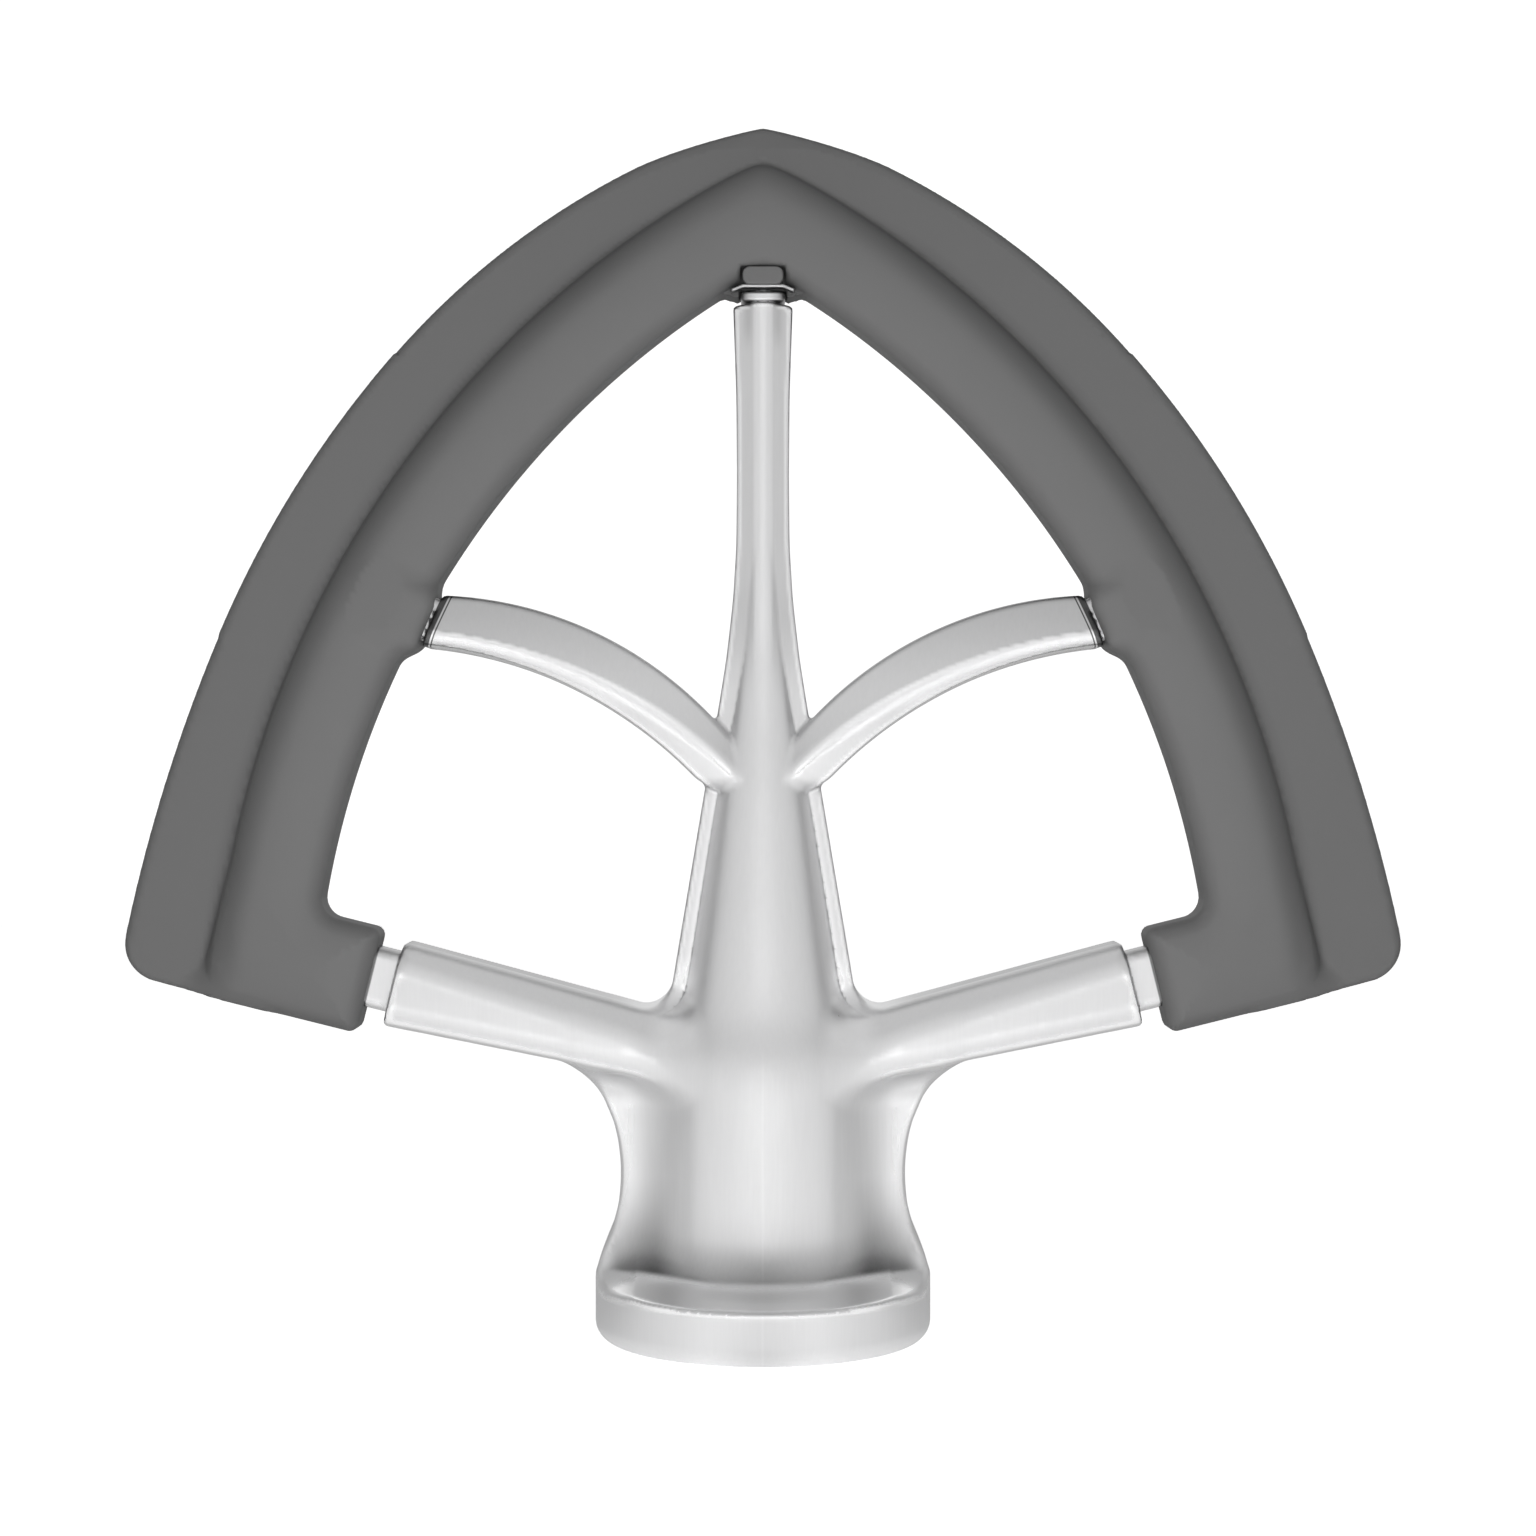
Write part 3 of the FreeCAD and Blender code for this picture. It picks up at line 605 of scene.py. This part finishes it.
def metal_tone(field, points, faces, normals):
    """Brightness of the casting, painted light and shade: painted highlights on edges, painted shade in
    corners, and a painted highlight over the collar's upper face.
    """
    x, y, z = np.abs(points.T)
    up = normals[:, 2]
    curve = bend(field, points, faces, 0.35)
    lying = smooth_step(up, 0.5, 0.95)
    # Painted shade in corners, from how closed in the room over the surface is and from hollow bends, less on
    # faces that lie flat.
    corner = 0.42 * smooth_step(shelter(field, points, normals, 8.0), 0.06, 0.42) * (1 - 0.8 * lying)
    corner += 0.15 * smooth_step(-curve, 0.3, 1.6)
    tone = metal_level + painted_edge_light(x, z, up, curve) + spine_tone(x, y, z, corner) + hub_tone(x, y, z)
    # Painted highlight over the collar's upper face.
    collar_top_light = smooth_step(up, 0.7, 0.92) * between(z, 6.0, 6.6, 8.5, 9.1)
    tone += collar_top_light * np.maximum(1.0 - tone, 0)
    return np.clip(tone, metal_darkest, 1.0)


def seat_tone(field, points, faces, normals):
    """Painted shade: the neck and the flange are dark apart from the flange's front and back edges, and the
    ring is darker at its sides."""
    x, y, z = np.abs(points.T)
    ring = ring_level - 0.40 * smooth_step(x, 0.4, 2.4)
    plate = np.where(y > 3.6, flange_edge_level, flange_shade_level)
    in_ring = (z < 122.52) & (x < 2.75)
    return np.where(np.hypot(x, y) < 2.3, seat_neck_shade_level, np.where(in_ring, ring, plate))


def silicone_tone(field, points, faces, normals):
    """Brightness of the silicone, painted light and shade: painted shade in and beside its creases, in the
    pocket of the tip, in a streak over each boss and along its free edge, and the blade painted a little
    lighter outside the roll."""
    x, y, z = np.abs(points.T)
    rim = rim_distance(x, z)
    near_tip = (1 - smooth_step(x, 4.0, 22.0)) * smooth_step(z, 110.0, 120.0)
    crease = smooth_step(-bend(field, points, faces, 0.3), 0.2, 1.5)
    tone = 1 - (0.3 - 0.18 * near_tip) * crease
    beside = np.where(rim > 5.7, 0.22 * (1 - smooth_step(rim, 5.7, 8.6)), 0.18 * hump(rim, 3.7, 1.5))
    _, above = lower_axes(x, z)
    tone -= beside * smooth_step(above, -6.0, -2.0) * (1 - 0.7 * near_tip)
    tone -= 0.2 * (1 - smooth_step(-free_edge_field(x, z), 0.2, 1.8))
    in_pocket = (1 - smooth_step(y, 2.2, 4.8)) * (1 - smooth_step(x, 4.0, 6.5))
    tone -= 0.45 * in_pocket * (1 - smooth_step(z, 124.0, 127.5))
    tone -= 0.16 * hump(z, 87.9, 0.6) * (1 - smooth_step(x, 39.0, 42.8))
    return np.maximum(tone + (0.08 + 0.06 * near_tip) * smooth_step(rim, 5.0, 6.0), silicone_darkest)


def skin_piece(name, field, axes, material, tone, node):
    """Puts the skin of a field into a mesh in metres, with the field's slope as its normals, and its tone
    as an attribute for the material."""
    points, faces, normals = skin(field, axes)
    mesh = bpy.data.meshes.new(name)
    mesh.from_pydata(points * METRES, [], faces)
    mesh.shade_smooth()
    mesh.normals_split_custom_set_from_vertices(normals)
    tones = mesh.attributes.new("tone", "FLOAT", "POINT")
    tones.data.foreach_set("value", tone(field, points, faces, normals))
    mesh.materials.append(material)
    piece = bpy.data.objects.new(name, mesh)
    bpy.context.scene.collection.objects.link(piece)
    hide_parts(node)
    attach(piece, "root")


class Wire:
    """A shader socket that takes part in sums: an expression on values adds its Math nodes."""

    def __init__(self, tree, socket):
        self.tree, self.socket = tree, socket

    def math(self, operation, first, second=0.0):
        return self.tree.node("ShaderNodeMath", {"operation": operation}, {0: first, 1: second})

    def __add__(self, other):
        return self.math("ADD", self, other)

    def __sub__(self, other):
        return self.math("SUBTRACT", self, other)

    def __rsub__(self, other):
        return self.math("SUBTRACT", other, self)

    def __mul__(self, other):
        return self.math("MULTIPLY", self, other)

    __radd__ = __add__
    __rmul__ = __mul__


class Shader:
    """A node tree with one method for any node: its settings first, then its inputs."""

    def __init__(self, tree):
        self.tree = tree
        tree.nodes.clear()

    def node(self, kind, settings=None, inputs=None, output=0):
        made = self.tree.nodes.new(kind)
        for key, value in (settings or {}).items():
            setattr(made, key, value)
        for key, value in (inputs or {}).items():
            if isinstance(value, Wire):
                self.tree.links.new(value.socket, made.inputs[key])
            else:
                made.inputs[key].default_value = value
        return Wire(self, made.outputs[output]) if made.outputs else None

    def output(self, wire, index):
        """Another output of the node that a wire comes from."""
        return Wire(self, wire.socket.node.outputs[index])

    def step(self, value, low, high, reach=1.0):
        """Rises smoothly from 0 to a reach as a value goes from one bound to the other."""
        return self.node("ShaderNodeMapRange", {"interpolation_type": "SMOOTHSTEP"},
                         {"Value": value, "From Min": low, "From Max": high, "To Min": 0.0, "To Max": reach})

    def between(self, value, start, full, full_end, end, reach=1.0):
        """A reach inside a range, fading smoothly to 0 on both sides of it."""
        return self.step(value, start, full) * self.step(value, end, full_end, reach)

    def rays(self):
        """Two outputs that are 1 for the rays from the camera and for those that shiny things send on."""
        path = self.node("ShaderNodeLightPath")
        return (self.output(path, "Is Camera Ray"),
                self.output(path, "Is Glossy Ray") + self.output(path, "Is Transmission Ray"))

    def noise(self, place, scale, detail=2.0, rough=0.5):
        return self.node("ShaderNodeTexNoise", {"noise_dimensions": "3D"},
                         {"Vector": place, "Scale": scale, "Detail": detail, "Roughness": rough})

    def shade(self, level, colour):
        """A colour, darkened to black as its level falls from 1 to 0. The mix takes its colours by number,
        because all its kinds of input share the same names."""
        return self.node("ShaderNodeMix", {"data_type": "RGBA"},
                         {"Factor": level, 6: (0, 0, 0, 1), 7: colour}, output=2)


def new_material(name):
    material = bpy.data.materials.new(name)
    material.use_nodes = True
    return material, Shader(material.node_tree)


# Materials

aluminium_colour = (1.0, 1.0, 1.006, 1)
silicone_colour = (0.113, 0.113, 0.113, 1)
# Thin line up the middle: smoother, with a painted highlight.
middle_line_side = (0.00020, 0.00006)
middle_line_height = (0.036, 0.032)

# Painted shadow bands in metres, each from where it starts, over where it is full, to where it ends
wide_band = (0.10280, 0.10288, 0.10356, 0.10362)
fine_band = (0.10244, 0.10252, 0.10260, 0.10268)
arm_joint = (0.04436, 0.04442, 0.04452, 0.04472)
silicone_joint = (0.04698, 0.04716)
bands_from_side = (0.030, 0.031)
bands_from_height = (0.060, 0.062)
joints_below = (0.056, 0.054)


def end_shadow_bands(shader, side, height):
    """Painted shadow bands: two round the outer end of each upper arm, by the distance from the rim's centre,
    and in the joints at both ends of each lower neck, by the place along the arm."""
    across = side - rim_center[0] * METRES
    rise = height - rim_center[1] * METRES
    over = rise * math.cos(upper_angle) - across * math.sin(upper_angle)
    away = across.math("SQRT", across * across + rise * rise) - over * upper_end_lean
    bands = shader.between(away, *wide_band) + shader.between(away, *fine_band)
    upper = bands * shader.step(side, *bands_from_side) * shader.step(height, *bands_from_height, 0.85)
    along = side * math.cos(lower_slope) + (height - lower_axis_z * METRES) * math.sin(lower_slope)
    joints = shader.step(along, *silicone_joint, 0.75) + shader.between(along, *arm_joint, 0.5)
    return upper + joints * shader.step(height, *joints_below)


def burnished_aluminium():
    """Bright tumbled casting: fine upright grain, faint clouds in its polish, and a thin smoother line up the
    middle, painted a little brighter as a highlight. Its brightest places are the smoothest."""
    material, shader = new_material("burnished_aluminium")
    place = shader.node("ShaderNodeTexCoord", output="Object")
    cloud = shader.noise(place, scale=90.0, detail=3.0)
    brushed = shader.node("ShaderNodeMapping", None, {"Vector": place, "Scale": (1.0, 1.0, 0.06)})
    grain = shader.noise(brushed, scale=3000.0, rough=0.6)
    parts = shader.node("ShaderNodeSeparateXYZ", None, {0: place})
    side = parts.math("ABSOLUTE", parts)
    height = shader.output(parts, "Z")
    line = shader.step(side, *middle_line_side) * shader.step(height, *middle_line_height)
    tone = shader.node("ShaderNodeAttribute", {"attribute_name": "tone"}, output="Fac")
    rough = 0.33 + cloud * 0.06 + grain * 0.06 - line * 0.05 - shader.step(tone, 0.88, 1.0, 0.17)
    # The tone's painted light and shade, the middle line's painted highlight and the painted shadow bands set
    # the colour's level.
    level = (tone + grain * 0.05 - 0.025 + line * 0.02) * (1.0 - end_shadow_bands(shader, side, height))
    colour = shader.shade(level, aluminium_colour)
    bump = shader.node("ShaderNodeBump", None, {"Strength": 0.10, "Distance": 0.00004, "Height": grain})
    surface = shader.node("ShaderNodeBsdfPrincipled", None,
                          {"Base Color": colour, "Metallic": 1.0, "Roughness": rough, "Normal": bump})
    shader.node("ShaderNodeOutputMaterial", None, {"Surface": surface})
    return material


def moulded_silicone():
    """Matte grey silicone with the faint even grain of its mould."""
    material, shader = new_material("moulded_silicone")
    place = shader.node("ShaderNodeTexCoord", output="Object")
    grain = shader.noise(place, scale=2200.0, rough=0.6)
    cloud = shader.noise(place, scale=60.0)
    tone = shader.node("ShaderNodeAttribute", {"attribute_name": "tone"}, output="Fac")
    # The tone attribute paints light and shade into the colour.
    colour = shader.shade(tone, silicone_colour)
    bump = shader.node("ShaderNodeBump", None, {"Strength": 0.15, "Distance": 0.00005, "Height": grain})
    rough = 0.52 + cloud * 0.08 + grain * 0.05
    surface = shader.node("ShaderNodeBsdfPrincipled", None,
                          {"Base Color": colour, "Roughness": rough, "Normal": bump})
    shader.node("ShaderNodeOutputMaterial", None, {"Surface": surface})
    return material


# Grids in millimetres: starts and steps along x, y and z, finer where a piece has small forms

casting_grid = (both_ways((0, 0.26), (5.4, 0.32), (13, 0.42), (51, 0)),
                both_ways((0, 0.4), (9, 0.5), (20, 0)),
                grid_axis((-1, 0.5), (4.5, 0.32), (10, 0.5), (24, 0.42), (46, 0.6), (62, 0.42), (88, 0.75),
                          (116, 0.35), (122, 0)))
seat_grid = (both_ways((0, 0.15), (3.8, 0)), both_ways((0, 0.2), (4, 0)), grid_axis((120, 0.15), (128.4, 0)))
silicone_grid = (both_ways((0, 0.3), (8, 0.55), (75.2, 0)), both_ways((0, 0.45), (5.6, 0)),
                 grid_axis((35, 0.6), (118, 0.3), (130, 0.5), (142.4, 0)))
plug_grid = (both_ways((0, 0.15), (2.8, 0)), both_ways((0, 0.2), (4.8, 0)),
             grid_axis((123.6, 0.15), (126.4, 0)))

metal = burnished_aluminium()
skin_piece("casting", casting_field, casting_grid, metal, metal_tone, "beater_frame")
skin_piece("stem_seat", seat_field, seat_grid, metal, seat_tone, "beater_frame")
rubber = moulded_silicone()
skin_piece("silicone_moulding", silicone_field, silicone_grid, rubber, silicone_tone, "silicone_edge")
skin_piece("tip_plug", plug_field, plug_grid, rubber, silicone_tone, "silicone_edge")


# Studio

camera_place = (0.00059, -0.3428, 0.0669)
camera_lens = 68.3
far_floor_glow = 0.06
sky_diffuse = 0.33
sky_level = 0.70
sky_front = 0.20
sky_front_peak = 0.31


def stage_plane(name, corners, material):
    mesh = bpy.data.meshes.new(name)
    mesh.from_pydata(corners, [], [(0, 1, 2, 3)])
    mesh.materials.append(material)
    plane = bpy.data.objects.new(name, mesh)
    bpy.context.scene.collection.objects.link(plane)


def seen_white(name, colour, camera_glow, metal_glow, pool=0.0):
    """Pale paper that shows as white to the camera and pale in the metal, and still takes a shadow. It glows
    a little more far behind, so that no horizon shows. A pool of light in front of the object shows in the
    metal too."""
    material, shader = new_material(name)
    seen, metal = shader.rays()
    place = shader.node("ShaderNodeTexCoord", output="Object")
    depth = shader.output(shader.node("ShaderNodeSeparateXYZ", None, {0: place}), "Y")
    front = shader.step(depth, 0.01, -0.03, pool)
    far = shader.step(depth, 0.10, 0.60, far_floor_glow)
    glow = seen * (far + camera_glow) + metal * (front + metal_glow)
    paper = shader.node("ShaderNodeBsdfDiffuse", None, {"Color": colour})
    light = shader.node("ShaderNodeEmission", None, {"Color": (1, 1, 1, 1), "Strength": glow})
    both = shader.node("ShaderNodeAddShader", None, {0: paper, 1: light})
    shader.node("ShaderNodeOutputMaterial", None, {"Surface": both})
    return material


def studio():
    """White floor and a white card behind, under a soft sky that is brightest in front and dim above."""
    reach, back, half, top = 3.0, 0.9, 0.5, 1.6
    paper = seen_white("floor_paper", (0.8, 0.8, 0.8, 1), camera_glow=0.81, metal_glow=0.15, pool=0.30)
    corners = [(-reach, -reach, 0), (reach, -reach, 0), (reach, back, 0), (-reach, back, 0)]
    stage_plane("floor", corners, paper)
    paper = seen_white("backdrop_paper", (0.1, 0.1, 0.1, 1), camera_glow=1.0, metal_glow=0.9)
    corners = [(-half, back, 0), (half, back, 0), (half, back, top), (-half, back, top)]
    stage_plane("backdrop", corners, paper)
    world = bpy.data.worlds.new("studio")
    world.use_nodes = True
    bpy.context.scene.world = world
    shader = Shader(world.node_tree)
    ray = shader.node("ShaderNodeTexCoord", output="Generated")
    parts = shader.node("ShaderNodeSeparateXYZ", None, {0: ray})
    y, z = shader.output(parts, 1), shader.output(parts, 2)
    metal_sky = sky_level - y * sky_front + shader.step(y, -0.92, -1.0, sky_front_peak)
    metal_sky = metal_sky - shader.step(z, 0.0, 0.25, 0.05) - shader.step(z, 0.30, 0.62, 0.09)
    seen, metal = shader.rays()
    level = sky_diffuse + seen * (1.0 - sky_diffuse)
    level = level + metal * (metal_sky - sky_diffuse)
    sky = shader.node("ShaderNodeBackground", None, {"Color": (1, 1, 1, 1), "Strength": level})
    shader.node("ShaderNodeOutputWorld", None, {"Surface": sky})


def soft_lamp(name, place, target, size, watts):
    lamp = bpy.data.lights.new(name, "AREA")
    lamp.shape, lamp.size, lamp.energy = "SQUARE", size, watts
    holder = bpy.data.objects.new(name, lamp)
    bpy.context.scene.collection.objects.link(holder)
    holder.location = place
    holder.visible_glossy = False
    aim = np.array(target) - np.array(place)
    holder.rotation_euler = (math.atan2(math.hypot(aim[0], aim[1]), -aim[2]), 0, math.atan2(-aim[0], aim[1]))


def camera():
    lens = bpy.data.cameras.new("camera")
    lens.lens, lens.sensor_width = camera_lens, 36.0
    lens.clip_start, lens.clip_end = 0.01, 20.0
    holder = bpy.data.objects.new("camera", lens)
    holder.location = camera_place
    holder.rotation_euler = (math.pi / 2, 0, 0)
    bpy.context.scene.collection.objects.link(holder)
    bpy.context.scene.camera = holder


studio()
soft_lamp("front_softbox", place=(0.0, -0.20, 0.03), target=(0, 0, 0.07), size=0.14, watts=0.6)
camera()
bpy.context.scene.view_settings.view_transform = "Standard"
